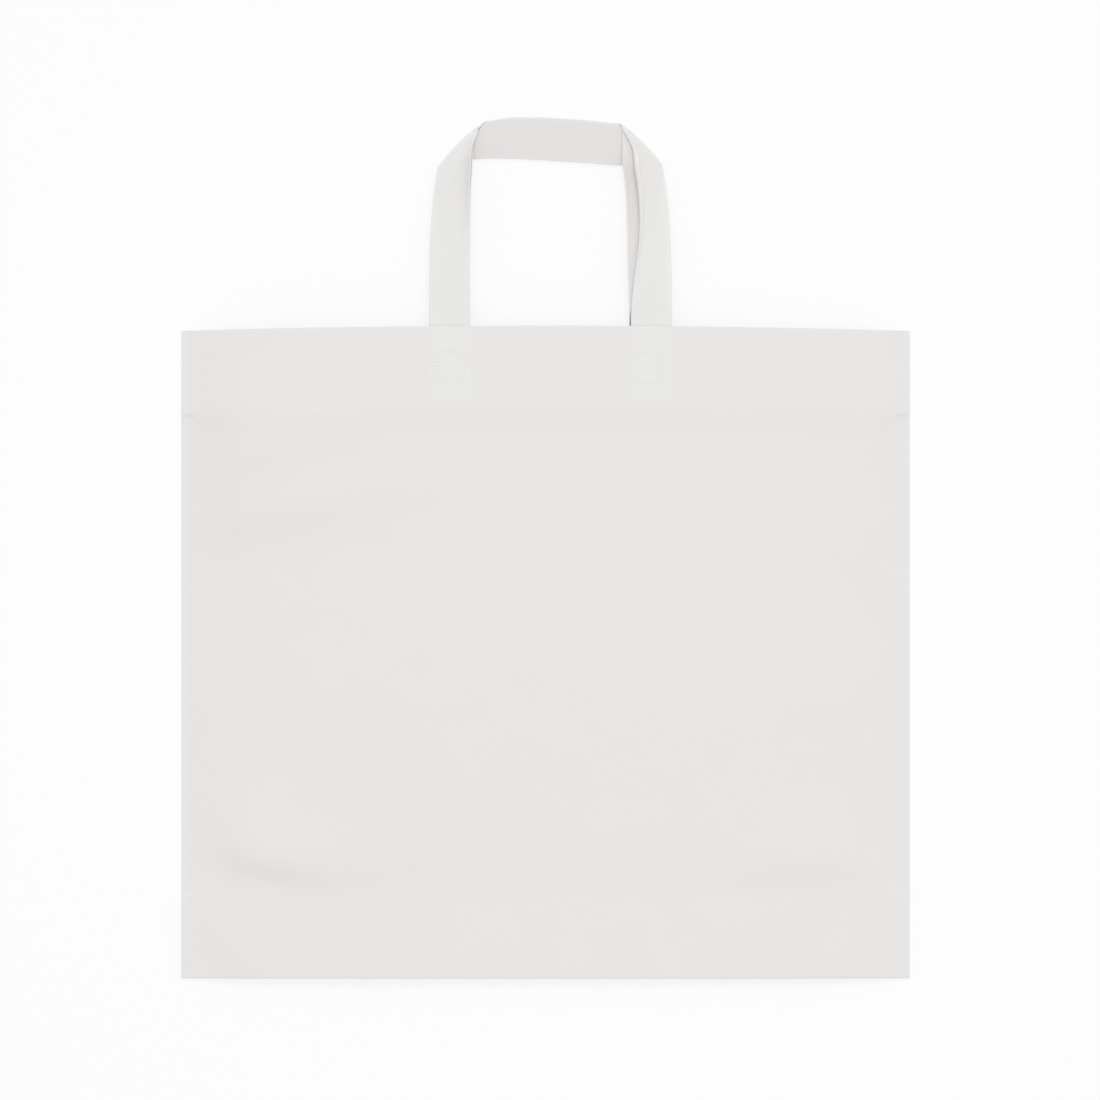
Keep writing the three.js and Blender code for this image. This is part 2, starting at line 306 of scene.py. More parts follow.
def add(tree, kind, inputs=None, **settings):
    """Adds a node with its settings. Each input takes a value, another node's output, or
    another node, which stands for its first output."""
    node = tree.nodes.new(kind)
    for name, value in settings.items():
        setattr(node, name, value)
    for key, value in (inputs or {}).items():
        if isinstance(value, bpy.types.Node):
            value = value.outputs[0]
        if isinstance(value, bpy.types.NodeSocket):
            tree.links.new(value, node.inputs[key])
        else:
            node.inputs[key].default_value = value
    return node


# Sizes and colours a user would change


def distance(name, description, millimetres, low=0.0):
    """A length that a user may change, with its default and its least value."""
    return bpy.props.FloatProperty(
        name=name,
        description=description,
        default=millimetres * MM,
        min=low * MM,
        subtype="DISTANCE",
        unit="LENGTH",
        precision=4,
    )


class BodySizes(bpy.types.PropertyGroup):
    width: distance("Width", "Seam edge to seam edge", (BODY_HIGH.x - BODY_LOW.x) / MM)
    height: distance("Height", "Bottom fold to mouth, along the side seams", 400)
    crown: distance("Mouth crown", "How far the middle of the mouth stands over its ends", 3)
    hem: distance("Hem depth", "How deep the mouth's edge is turned in", 50)
    gusset: distance("Gusset depth", "How far the bottom gusset is folded in", 50)
    ply: distance("Ply", "Thickness of one ply of the fabric", 0.5)
    seam: distance("Seam inset", "Side edge to the line of weld dashes", 5)
    mouth_height: distance("Gape at the mouth", "Outside height of the bag at its mouth", 12)
    bottom_height: distance("Gape at the bottom", "Outside height at the bottom fold", 7)
    rise: distance("Rise width", "Distance in from each seam over which the panels part", 120)


class StrapSizes(bpy.types.PropertyGroup):
    width: distance("Width", "Width of the strap", 25)
    thickness: distance("Thickness", "Two plies pressed together", 0.8)
    spacing: distance("Leg spacing", "Centre to centre of a loop's legs", 124.5)
    shift: distance("Shift", "How far the loops sit to the right of the middle", 3)
    rise: distance("Leg rise", "Mouth to the lower end of the mitre folds", 100.8)


class WeldSizes(bpy.types.PropertyGroup):
    print_width: distance("Print width", "Width of a strap's weld print", 17.3)
    print_height: distance("Print height", "Height of a strap's weld print", 19.2)
    corner: distance("Corner radius", "Radius of the print's corners", 4)
    bar_pitch: distance("Bar pitch", "Spacing of the bars round a print", 2.4)
    bar_length: distance("Bar length", "Length of each bar, between its round ends", 2.8)
    left: distance("Left print", "Middle of the left print, across the bag", -59.6, -400)
    right: distance("Right print", "Middle of the right print, across the bag", 63)
    drop: distance("Print drop", "Mouth edge to the middle of the prints", 26.4)
    dash_pitch: distance("Dash pitch", "Spacing of the dashes down a side seam", 5)
    dash_length: distance("Dash length", "Length of each dash, between its round ends", 1)
    press_width: distance("Mark width", "Width of each bar and dash", 1.2)
    depth: distance("Depth", "How deep the weld marks are pressed", 0.16)


def colour(name, description, code):
    """A colour that a user may change, with its default in sRGB hex."""
    return bpy.props.FloatVectorProperty(
        name=name, description=description, size=4, default=linear(code),
        subtype="COLOR", min=0, max=1,
    )


class FabricLook(bpy.types.PropertyGroup):
    body: colour("Body", "Spunbond fabric of the body", "#ebe9e8")
    # Painted light: the body colour made lighter where plies or a strap's tail lie behind the
    # thin fabric
    backed: colour("Backed body", "The same, where a strap lies behind it", "#ecebe9")
    strap: colour("Front strap", "Fabric of the front strap", "#edecea")
    # The rear strap is painted darker than the front one: painted shade for its strip under
    # the front strap's leg and its darker-looking top
    rear_strap: colour("Rear strap", "Fabric of the rear strap", "#e9e7e6")
    film: colour("Weld film", "Where the fibres are melted to film", "#dcdbd9")
    bond_pitch: distance("Bond pitch", "Spacing of the embossed bond points", 2.2)


class CarrierBag(bpy.types.PropertyGroup):
    body: bpy.props.PointerProperty(type=BodySizes)
    strap: bpy.props.PointerProperty(type=StrapSizes)
    weld: bpy.props.PointerProperty(type=WeldSizes)
    look: bpy.props.PointerProperty(type=FabricLook)


# Body


class Blank:
    """The body's cut blank, and where each point of it lies once it is folded.

    A point is given by x across the bag and s along the blank, from the front hem's raw
    edge over the mouth, down the front, round the gusset and up the back.
    """

    def __init__(self, sizes):
        self.half = sizes.width / MM / 2
        self.height = sizes.height / MM
        self.crown = sizes.crown / MM
        self.hem = sizes.hem / MM
        self.gusset = sizes.gusset / MM
        self.ply = sizes.ply / MM
        self.seam = sizes.seam / MM
        self.mouth_height = sizes.mouth_height / MM
        self.bottom_height = sizes.bottom_height / MM
        self.rise = sizes.rise / MM
        self.back = self.ply / 2
        fold = math.pi * (self.ply + PLY_GAP) / 2
        ridge = math.pi * RIDGE_RADIUS
        middle = self.height - self.hem - self.gusset - HEM_STEP - RIDGE_STEP
        self.lengths = np.array([
            self.hem, fold, self.hem, HEM_STEP, middle, RIDGE_STEP, self.gusset, fold,
            self.gusset, ridge, self.gusset, fold, self.height, fold, self.hem,
        ])
        self.starts = np.concatenate([[0], np.cumsum(self.lengths)])

    def opening(self, x):
        """How far the panels have parted: 0 at the seams and 1 in the middle."""
        inward = np.clip((self.half - self.seam - np.abs(x)) / self.rise, 0, 1)
        return 1 - (1 - inward) ** PILLOW

    def mouth(self, x):
        """How far up the mouth's edge lies."""
        return self.height + self.crown * (1 - (x / self.half) ** 2)

    def pitch(self, x):
        """From the middle of one folded ply to the middle of the next."""
        return self.ply + lerp(PRESSED_GAP, PLY_GAP, self.opening(x))

    def relief(self, x, y):
        """Height of the soft folds."""
        height = np.zeros_like(x)
        for fx, fy, turn, length, width, lift in SOFT_FOLDS:
            a = math.radians(turn)
            u = ((x - fx) * math.cos(a) + (y - fy) * math.sin(a)) / (length / 2)
            v = ((y - fy) * math.cos(a) - (x - fx) * math.sin(a)) / (width / 2)
            fall = (np.tanh(FOLD_SHARPNESS * v) + 1) / 2
            fall *= np.exp(-(np.maximum(v, 0) / FOLD_FADE) ** 2)
            height += lift * fall * np.exp(-u * u)
        return height * smooth(0, FOLD_MARGIN, self.half - self.seam - np.abs(x))

    def front(self, x, y):
        """Height of the middle of the front panel's ply."""
        hem = self.mouth(x) - self.hem
        in_hem = smooth(hem - HEM_STEP, hem, y)
        over_ridge = smooth(self.gusset, self.gusset + RIDGE_STEP, y)
        climb = smooth(self.gusset, CLIMB_END, y)
        loose = smooth(0, LOOSE_WIDTH, self.half - self.seam - np.abs(x))
        single = smooth(self.gusset, self.gusset + lerp(SEAM_STEP, RIDGE_STEP, loose), y)
        single = single * (1 - smooth(hem - lerp(SEAM_STEP, HEM_STEP, loose), hem, y))
        pressed = self.back + lerp(FOLDED_PLIES, 1, single) * self.pitch(x)
        top = self.mouth_height - HEM_DROP
        free = self.bottom_height + RIDGE_RISE * over_ridge
        free = lerp(free, top, climb) + HEM_DROP * in_hem - self.ply / 2
        return lerp(pressed, free, self.opening(x)) + self.relief(x, y)

    def place(self, x, s):
        """Points of the ply's middle surface, and the part of the blank each lies on."""
        s = np.clip(s, 0, self.starts[-1])
        part = np.searchsorted(self.starts, s, side="right") - 1
        part = np.clip(part, 0, len(self.lengths) - 1)
        f = (s - self.starts[part]) / self.lengths[part]
        gap = self.pitch(x)
        fold = gap / 2
        bottom = fold + self.ply / 2
        mouth = self.mouth(x) - bottom
        hem = self.mouth(x) - self.hem
        ridge = lerp(fold, RIDGE_RADIUS, self.opening(x))
        ridge_end = self.gusset - ridge - self.ply / 2
        ridge_z = (self.back + self.front(x, np.full_like(x, self.gusset))) / 2
        turn = math.pi * f
        front_top = self.front(x, mouth)
        front_bottom = self.front(x, bottom)
        y = np.zeros_like(x)
        z = np.zeros_like(x)

        def put(k, ys, zs):
            m = part == k
            y[m] = ys[m]
            z[m] = zs[m]

        run = lerp(hem, mouth, f)
        put(FRONT_HEM, run, self.front(x, run) - gap)
        put(FRONT_LIP, mouth + fold * np.sin(turn), front_top - fold - fold * np.cos(turn))
        for k, (a, b) in {
            OVER_HEM: (mouth, hem),
            HEM_FALL: (hem, hem - HEM_STEP),
            PANEL: (hem - HEM_STEP, self.gusset + RIDGE_STEP),
            RIDGE_FALL: (self.gusset + RIDGE_STEP, self.gusset),
            OVER_GUSSET: (self.gusset, bottom),
        }.items():
            run = lerp(a, b, f)
            put(k, run, self.front(x, run))
        low, high = bottom - fold * np.sin(turn), front_bottom - fold + fold * np.cos(turn)
        put(FRONT_BEND, low, high)
        run = lerp(bottom, ridge_end, f)
        put(GUSSET_UPPER, run, lerp(front_bottom - gap, ridge_z + ridge, f))
        put(RIDGE, ridge_end + ridge * np.sin(turn), ridge_z + ridge * np.cos(turn))
        run = lerp(ridge_end, bottom, f)
        put(GUSSET_LOWER, run, lerp(ridge_z - ridge, self.back + gap, f))
        put(BACK_BEND, low, self.back + fold + fold * np.cos(turn))
        put(BACK, lerp(bottom, mouth, f), np.full_like(x, self.back))
        put(BACK_LIP, mouth + fold * np.sin(turn), self.back + fold - fold * np.cos(turn))
        put(REAR_HEM, lerp(mouth, hem, f), self.back + gap)
        return np.stack([x, y, z], 1), part

    def normal(self, x, s):
        """Which way the outside of the bag faces."""
        ahead = self.place(x, s + SLOPE_REACH)[0] - self.place(x, s - SLOPE_REACH)[0]
        left = np.clip(x - SLOPE_REACH, -self.half, self.half)
        right = np.clip(x + SLOPE_REACH, -self.half, self.half)
        aside = self.place(right, s)[0] - self.place(left, s)[0]
        n = np.cross(ahead, aside)
        return n / np.linalg.norm(n, axis=1)[:, None]


def on_panel(part):
    """Whether a point lies on the front or the back panel, and not in a fold or inside."""
    return (part >= OVER_HEM) & (part <= OVER_GUSSET) | (part == BACK)


def blank_lines(blank):
    """Where the body's grid has its lines across the blank, and down it."""
    rows = []
    for start, length, count in zip(blank.starts, blank.lengths, PART_ROWS):
        rows += [start + length * i / count for i in range(count)]
    rows.append(blank.starts[-1])
    line = blank.half - blank.seam
    outer = [line - SEAM_BAND, line + SEAM_BAND, blank.half]
    even = list(np.linspace(SEAM_MARGIN - line, line - SEAM_MARGIN, EVEN_LINES))
    return rows, [-c for c in reversed(outer)] + even + outer


def refine(bm, cuts, inside):
    """Cuts the faces whose middle (x, s) is inside into cuts + 1 each way."""
    faces = [f for f in bm.faces if inside(*f.calc_center_median()[:2])]
    edges = list({e for f in faces for e in f.edges})
    bmesh.ops.subdivide_edges(bm, edges=edges, cuts=cuts, use_grid_fill=True)


def refine_outside(bm, blank, weld):
    """Makes the front panel finer, and both panels finer still where weld marks go."""
    line = blank.half - blank.seam
    front_from, front_to = blank.starts[OVER_HEM], blank.starts[FRONT_BEND]
    back_from, back_to = blank.starts[BACK], blank.starts[BACK_LIP]
    drop = weld.drop / MM
    reach_x, reach_y = (
        (size + weld.bar_length + weld.press_width) / MM / 2 + PRINT_MARGIN
        for size in (weld.print_width, weld.print_height)
    )

    def near_print(x, from_mouth):
        aside = min(abs(x - weld.left / MM), abs(x - weld.right / MM))
        return abs(from_mouth - drop) < reach_y and aside < reach_x

    def front(x, s):
        return front_from < s < front_to and abs(x) < line + SEAM_BAND

    def front_seam(x, s):
        return front(x, s) and abs(x) > line - SEAM_BAND

    def back_seam(x, s):
        return back_from < s < back_to and line - SEAM_BAND < abs(x) < line + SEAM_BAND

    def front_print(x, s):
        return near_print(x, s - front_from)

    def back_print(x, s):
        return near_print(x, back_to - s)

    # At the marks this many cuts leave faces of less than a millimetre.
    for cuts, inside in (
        (1, front), (2, front_seam), (5, back_seam), (4, front_print), (8, back_print)
    ):
        refine(bm, cuts, inside)


def outside_grid(blank, weld, rows, columns):
    """The outside as a grid on the flat blank: its points, as x and s, and its faces."""
    bm = bmesh.new()
    grid = [[bm.verts.new((x, s, 0)) for x in columns] for s in rows]
    for here, below in zip(grid, grid[1:]):
        for j in range(len(columns) - 1):
            bm.faces.new((here[j], below[j], below[j + 1], here[j + 1]))
    refine_outside(bm, blank, weld)
    bm.verts.index_update()
    flat = np.array([v.co[:2] for v in bm.verts])
    faces = [[v.index for v in f.verts] for f in bm.faces]
    bm.free()
    return flat, faces


def inside_faces(rows, columns, first):
    """Faces of the coarse inside, whose points start at first, and of the cut edges."""

    def at(i, j):
        return i * columns + j

    inner, edges = [], []
    for i in range(rows - 1):
        for j in range(columns - 1):
            corners = (at(i, j), at(i, j + 1), at(i + 1, j + 1), at(i + 1, j))
            inner.append([first + k for k in corners])
        edges += [(at(i + 1, 0), at(i, 0)), (at(i, columns - 1), at(i + 1, columns - 1))]
    for j in range(columns - 1):
        edges += [(at(0, j), at(0, j + 1)), (at(rows - 1, j + 1), at(rows - 1, j))]
    return inner, [[a, b, first + b, first + a] for a, b in edges]


def body_mesh(blank, strap, weld):
    """The fabric as a closed skin: a fine outside, a coarser inside and the cut edges."""
    rows, columns = blank_lines(blank)
    flat, outer_faces = outside_grid(blank, weld, rows, columns)
    middle, part = blank.place(flat[:, 0], flat[:, 1])
    normal = blank.normal(flat[:, 0], flat[:, 1])
    count, base = len(flat), len(rows) * len(columns)
    outside = middle + normal * blank.ply / 2
    inside = middle[:base] - normal[:base] * blank.ply / 2
    inner_faces, walls = inside_faces(len(rows), len(columns), count)
    points = np.concatenate([outside, inside])
    mesh = new_mesh("carrier_body", points, outer_faces + inner_faces + walls)
    smooth_until(mesh, len(outer_faces) + len(inner_faces))
    set_uv(mesh, np.concatenate([flat, flat[:base]]))

    pressable = on_panel(part)
    flat_place = np.zeros((len(points), 3))
    flat_place[:, 2] = FAR_AWAY
    flat_place[:count][pressable] = (middle * (MM, MM, 0))[pressable]
    press_way = np.zeros((len(points), 3))
    press_way[:count] = -normal
    # The backing sets how much painted light lightens the outside where plies or a tail lie
    # behind
    behind = np.concatenate([backing(blank, strap, middle, part), np.zeros(base)])
    store(mesh, "flat_place", flat_place, "FLOAT_VECTOR")
    store(mesh, "press_way", press_way, "FLOAT_VECTOR")
    store(mesh, "backing", behind)
    return mesh


def backing(blank, strap, middle, part):
    """How much lies right behind the outside, which sets how much of the backed colour's
    painted light shows: 1 for a strap's tail, PLY_BACKING for the plies of the hem or the
    gusset, else 0."""
    x, y = middle[:, 0], middle[:, 1]
    hem = blank.mouth(x) - blank.hem
    below, above = RIDGE_BLUR
    plies = smooth(hem - HEM_BLUR, hem + HEM_BLUR, y)
    plies = plies + 1 - smooth(blank.gusset - below, blank.gusset + above, y)
    aside = np.abs(np.abs(x - strap.shift / MM) - strap.spacing / MM / 2)
    edge = strap.width / MM / 2
    tail_end = hem + TAIL_MARGIN
    tails = 1 - smooth(edge - TAIL_BLUR, edge + TAIL_BLUR, aside)
    tails = tails * smooth(tail_end - TAIL_BLUR, tail_end + TAIL_BLUR, y)
    behind = np.maximum(PLY_BACKING * np.clip(plies, 0, 1), tails)
    return np.where(on_panel(part), behind, PLY_BACKING)


def new_mesh(name, points, faces):
    """A mesh in metres, in the row's frame."""
    placed = np.array(points) * MM
    placed[:, 1] += BODY_LOW.y
    mesh = bpy.data.meshes.new(name)
    mesh.from_pydata(placed.tolist(), [], faces)
    mesh.update()
    return mesh


def smooth_until(mesh, count):
    """Shades the first faces smooth and leaves the cut edges after them flat."""
    flags = np.zeros(len(mesh.polygons), bool)
    flags[:count] = True
    mesh.polygons.foreach_set("use_smooth", flags)
    cut = {key for p in list(mesh.polygons)[count:] for key in p.edge_keys}
    for e in mesh.edges:
        if e.key in cut:
            e.use_edge_sharp = True


def set_uv(mesh, flat):
    """The place of each vertex on its flat blank, in metres, as the UV map."""
    layer = mesh.uv_layers.new(name="blank")
    loops = np.zeros(len(mesh.loops), np.int32)
    mesh.loops.foreach_get("vertex_index", loops)
    layer.data.foreach_set("uv", (np.array(flat)[loops] * MM).astype(np.float32).ravel())


def store(mesh, name, values, kind="FLOAT"):
    """Keeps one value or vector for each point of the mesh."""
    attribute = mesh.attributes.new(name, kind, "POINT")
    field = "vector" if kind == "FLOAT_VECTOR" else "value"
    attribute.data.foreach_set(field, np.asarray(values, np.float32).ravel())


# Weld marks, pressed into the body by a rule


def weld_sockets(face):
    """The weld tree's inputs, which are lengths, a count and the fabric, and its output."""
    face.new_socket("Geometry", in_out="INPUT", socket_type="NodeSocketGeometry")
    for name in (
        "Print width", "Print height", "Corner radius", "Bar pitch", "Bar length",
        "Left print", "Right print", "Print middle", "Seam spacing", "First dash",
        "Dash pitch", "Dash length", "Mark width", "Depth",
    ):
        socket = face.new_socket(name, in_out="INPUT", socket_type="NodeSocketFloat")
        socket.subtype = "DISTANCE"
    face.new_socket("Dashes", in_out="INPUT", socket_type="NodeSocketInt")
    face.new_socket("Fabric", in_out="INPUT", socket_type="NodeSocketMaterial")
    face.new_socket("Geometry", in_out="OUTPUT", socket_type="NodeSocketGeometry")


def stroke(tree, length, axis):
    """A straight line of that length along an axis, with its middle at the origin."""
    ends = []
    for share in (-0.5, 0.5):
        reach = add(tree, "ShaderNodeMath", {0: length, 1: share}, operation="MULTIPLY")
        ends.append(add(tree, "ShaderNodeCombineXYZ", {axis: reach}))
    return add(tree, "GeometryNodeCurvePrimitiveLine", {"Start": ends[0], "End": ends[1]})


def print_bars(tree, given):
    """The bars of both weld prints, set round a rounded outline."""
    outline = add(
        tree, "GeometryNodeCurvePrimitiveQuadrilateral",
        {"Width": given["Print width"], "Height": given["Print height"]},
    )
    rounded = add(
        tree, "GeometryNodeFilletCurve",
        {"Curve": outline, "Count": CORNER_POINTS, "Radius": given["Corner radius"]},
        mode="POLY",
    )
    spaced = add(
        tree, "GeometryNodeResampleCurve",
        {"Curve": rounded, "Length": given["Bar pitch"]}, mode="LENGTH",
    )
    turned = add(
        tree, "FunctionNodeAlignRotationToVector",
        {"Vector": add(tree, "GeometryNodeInputTangent")}, axis="Y", pivot_axis="Z",
    )
    bar = stroke(tree, given["Bar length"], "X")
    bars = add(
        tree, "GeometryNodeInstanceOnPoints",
        {"Points": spaced, "Instance": bar, "Rotation": turned},
    )
    left, right = (
        add(tree, "ShaderNodeCombineXYZ", {"X": given[side], "Y": given["Print middle"]})
        for side in ("Left print", "Right print")
    )
    middles = add(tree, "GeometryNodeCurvePrimitiveLine", {"Start": left, "End": right})
    return add(tree, "GeometryNodeInstanceOnPoints", {"Points": middles, "Instance": bars})


def seam_dashes(tree, given):
    """The dashes down both side seams."""
    first, step = (
        add(tree, "ShaderNodeCombineXYZ", {"Y": given[name]})
        for name in ("First dash", "Dash pitch")
    )
    column = add(
        tree, "GeometryNodeMeshLine",
        {"Count": given["Dashes"], "Start Location": first, "Offset": step},
    )
    dash = stroke(tree, given["Dash length"], "Y")
    dashes = add(tree, "GeometryNodeInstanceOnPoints", {"Points": column, "Instance": dash})
    sides = stroke(tree, given["Seam spacing"], "X")
    return add(tree, "GeometryNodeInstanceOnPoints", {"Points": sides, "Instance": dashes})


def weld_tree():
    """Geometry Nodes: bars round each strap's weld print and dashes down both seams,
    pressed into the fabric along its press_way attribute."""
    tree = bpy.data.node_groups.new("Weld marks", "GeometryNodeTree")
    weld_sockets(tree.interface)
    given = add(tree, "NodeGroupInput").outputs
    both = add(tree, "GeometryNodeJoinGeometry")
    for lines in (print_bars(tree, given), seam_dashes(tree, given)):
        tree.links.new(lines.outputs[0], both.inputs[0])
    real = add(tree, "GeometryNodeRealizeInstances", {0: both})
    marks = add(tree, "GeometryNodeCurveToMesh", {"Curve": real})
    place, way = (
        add(tree, "GeometryNodeInputNamedAttribute", {"Name": name}, data_type="FLOAT_VECTOR")
        for name in ("flat_place", "press_way")
    )
    near = add(
        tree, "GeometryNodeProximity", {"Geometry": marks, "Sample Position": place},
        target_element="EDGES",
    )
    full, end = (
        add(
            tree, "ShaderNodeMath", {0: given["Mark width"], 1: share / 2},
            operation="MULTIPLY",
        )
        for share in (PRESS_FULL, PRESS_END)
    )
    pressed = add(
        tree, "ShaderNodeMapRange",
        {
            "Value": near.outputs["Distance"], "From Min": full, "From Max": end,
            "To Min": 1.0, "To Max": 0.0,
        },
        interpolation_type="SMOOTHSTEP",
    )
    depth = add(tree, "ShaderNodeMath", {0: pressed, 1: given["Depth"]}, operation="MULTIPLY")
    offset = add(tree, "ShaderNodeVectorMath", {0: way, "Scale": depth}, operation="SCALE")
    moved = add(
        tree, "GeometryNodeSetPosition", {"Geometry": given["Geometry"], "Offset": offset}
    )
    noted = add(
        tree, "GeometryNodeStoreNamedAttribute",
        {"Geometry": moved, "Name": "pressed", "Value": pressed},
        data_type="FLOAT", domain="POINT",
    )
    whole = add(tree, "GeometryNodeRealizeInstances", {0: noted})
    done = add(
        tree, "GeometryNodeSetMaterial", {"Geometry": whole, "Material": given["Fabric"]}
    )
    add(tree, "NodeGroupOutput", {0: done})
    return tree


def run_tree(obj, tree, values):
    """Runs a Geometry Nodes tree on an object once and keeps the plain mesh it makes."""
    modifier = obj.modifiers.new(tree.name, "NODES")
    modifier.node_group = tree
    for item in tree.interface.items_tree:
        if item.item_type == "SOCKET" and item.in_out == "INPUT" and item.name in values:
            modifier[item.identifier] = values[item.name]
    bpy.context.view_layer.update()
    evaluated = obj.evaluated_get(bpy.context.evaluated_depsgraph_get())
    mesh = bpy.data.meshes.new_from_object(evaluated)
    obj.modifiers.remove(modifier)
    old = obj.data
    obj.data = mesh
    bpy.data.meshes.remove(old)
    mesh.name = obj.name


def link(name, data):
    """Puts a mesh, a lamp or a camera in the scene, at the origin."""
    obj = bpy.data.objects.new(name, data)
    bpy.context.scene.collection.objects.link(obj)
    return obj


# Straps


def along(steps, fraction):
    """A smooth curve through even steps, read at a fraction of its length."""
    p = (len(steps) - 1) * fraction
    k = min(int(p), len(steps) - 1)
    w = p - k
    a, b, c, d = (steps[min(max(i, 0), len(steps) - 1)] for i in (k - 1, k, k + 1, k + 2))
    v, u = (c - a) / 2, (d - b) / 2
    return (2 * b - 2 * c + v + u) * w**3 + (3 * c - 3 * b - 2 * v - u) * w**2 + v * w + b


def curl(turns, fraction, across):
    """Reach and lift over a strap's width, as shares of it, where its edge turns up."""
    turned = math.radians(along(turns, fraction))
    fine = np.linspace(0, 1, CURL_STEPS + 1)
    middles = (fine[1:] + fine[:-1]) / 2
    angles = turned * middles**LATE_CURL
    reach = np.concatenate([[0], np.cumsum(np.cos(angles))]) / CURL_STEPS
    lift = np.concatenate([[0], np.cumsum(np.sin(angles))]) / CURL_STEPS
    return np.interp(across, fine, reach), np.interp(across, fine, lift)


class Loop:
    """One strap as rows of points across it: two legs, two mitre folds and the top.

    Its levels are the heights of its tails, of its legs at the mitre folds and of its
    top, and how much the turn between leg and top takes up.
    """

    def __init__(self, blank, sizes, inset, levels):
        self.blank = blank
        self.width = sizes.width / MM
        self.thick = sizes.thickness / MM
        self.spacing = sizes.spacing / MM
        self.shift = sizes.shift / MM
        self.rise = sizes.rise / MM
        self.tail_z, self.corner_z, self.top_z, self.swing = levels
        even = np.arange(ACROSS_STEP, (self.width - ACROSS_STEP) / 2, ACROSS_STEP)
        half = EDGE_POINTS + tuple(even)
        points = half + (self.width / 2,) + tuple(self.width - c for c in reversed(half))
        self.across = np.array(points) / self.width
        ends = np.minimum(self.across, 1 - self.across)
        self.blunt = lerp(CORNER_REACH, 1, smooth(0, CORNER_SHARE, ends))
        self.left = self.plan(-1, 0)
        self.right = self.plan(1, inset)

    def plan(self, side, inset):
        """One side seen from above. Low and high are the ends of its mitre fold's line,
        at the leg's outer and inner edge."""
        middle = self.shift + side * self.spacing / 2 - inset
        inward = -side
        outer = middle - inward * self.width / 2
        base = float(self.blank.mouth(np.array(middle)))
        outward = np.array([-inward, 1]) / math.sqrt(2)
        upward = np.array([inward, 1]) / math.sqrt(2)
        if side < 0:
            slip, pull, lift = LEFT_SLIP, LEFT_PULL, LEFT_LIFT
        else:
            slip, pull, lift = RIGHT_SLIP, RIGHT_PULL, RIGHT_LIFT
        low, high = [
            np.array([outer + inset + inward * (pull + step), base + self.rise + step])
            - outward * self.swing / 2 - upward * slip / 2
            for step in (0, self.width)
        ]
        return {
            "inward": inward, "outer": outer, "base": base, "outward": outward,
            "upward": upward, "slip": slip, "lift": lift, "low": low, "high": high,
        }

    def leg(self, plan, turns, settling, bow, hug):
        """Rows from the tail inside the hem to the mitre fold's line."""
        base = plan["base"]
        tail = base - (self.blank.hem - TAIL_MARGIN)
        fold_line = lerp(plan["low"][1], plan["high"][1], self.across)
        heights = [
            np.full_like(self.across, lerp(tail, base, k / TAIL_ROWS))
            for k in range(TAIL_ROWS)
        ]
        heights += [lerp(base, fold_line, k / LEG_ROWS) for k in range(LEG_ROWS + 1)]
        lie = (plan, turns, settling, bow, hug)
        return [
            np.array([self.leg_point(*lie, *spot) for spot in zip(self.across, row)])
            for row in heights
        ]

    def leg_point(self, plan, turns, settling, bow, hug, share, y):
        """A point of a leg, at a share of the strap's width from its outer edge."""
        base, low, inward = plan["base"], plan["low"], plan["inward"]
        fraction = min(max((y - base) / (low[1] - base), 0), 1)
        reach, lift = curl(turns, fraction, share)
        start, end = (low[1] + share * self.width * k for k in settling)
        settle = float(smooth(start, end, y)) if end > start else 0.0
        x = lerp(plan["outer"], low[0], fraction**LEAN_POWER)
        bowed = smooth(*BOW_IN, fraction) - BOW_LOSS * smooth(*BOW_OUT, fraction)
        x += inward * bow * float(bowed)
        flat = low[0] + inward * self.width * share
        x = lerp(x + inward * self.width * reach, flat, settle**2)
        z = lerp(self.tail_z, self.corner_z, float(smooth(0, 1, fraction)))
        z += hug * float(smooth(*HUG_IN, fraction) * (1 - smooth(*HUG_OUT, fraction)))
        lift *= lerp(MIDDLE_LIFT, plan["lift"], float(smooth(LIFT_FROM, 1, fraction)))
        return x, y, z + self.width * lift * (1 - settle) ** 2

    def diagonal(self, low, high, z):
        """A level row across the strap, from low to high."""
        ends = lerp(low[None, :], high[None, :], self.across[:, None])
        return np.column_stack([ends, np.full(len(self.across), z)])

    def mitre(self, plan):
        """Rows round a mitre fold, over the half turn from the leg down to the top."""
        radius = (self.corner_z - self.top_z) / 2
        rows = []
        for k in range(1, MITRE_ROWS):
            turned = k / MITRE_ROWS
            angle = math.pi * turned
            shift = plan["upward"] * plan["slip"] * turned
            z = self.top_z + radius * (1 + math.cos(angle))
            row = self.diagonal(plan["low"] + shift, plan["high"] + shift, z)
            reach = radius * math.sin(angle) * self.blunt
            row[:, :2] += reach[:, None] * plan["outward"]
            rows.append(row)
        return rows

    def top(self, sag):
        """Rows along the top, from the left mitre fold to the right one."""
        rows = []
        left, right = self.left, self.right
        for k in range(TOP_ROWS + 1):
            t = k / TOP_ROWS
            drop = sag * float(smooth(*SAG_IN, t) * (1 - smooth(*SAG_OUT, t)))
            low, high = (
                lerp(left[end] + left["upward"] * left["slip"],
                     right[end] + right["upward"] * right["slip"], t)
                + np.array([0, along(rises, t) - drop])
                for end, rises in (("low", LOWER_RISE), ("high", UPPER_RISE))
            )
            rows.append(self.diagonal(low, high, self.top_z))
        return rows

    def rows(self, left_turns, right_turns, bow=0, sag=0, hug=0):
        """The whole strap from its left tail to its right one. Only the right leg bows."""
        return (
            self.leg(self.left, left_turns, LEFT_SETTLE, 0, hug)
            + self.mitre(self.left)
            + self.top(sag)
            + self.mitre(self.right)[::-1]
            + self.leg(self.right, right_turns, RIGHT_SETTLE, bow, hug)[::-1]
        )


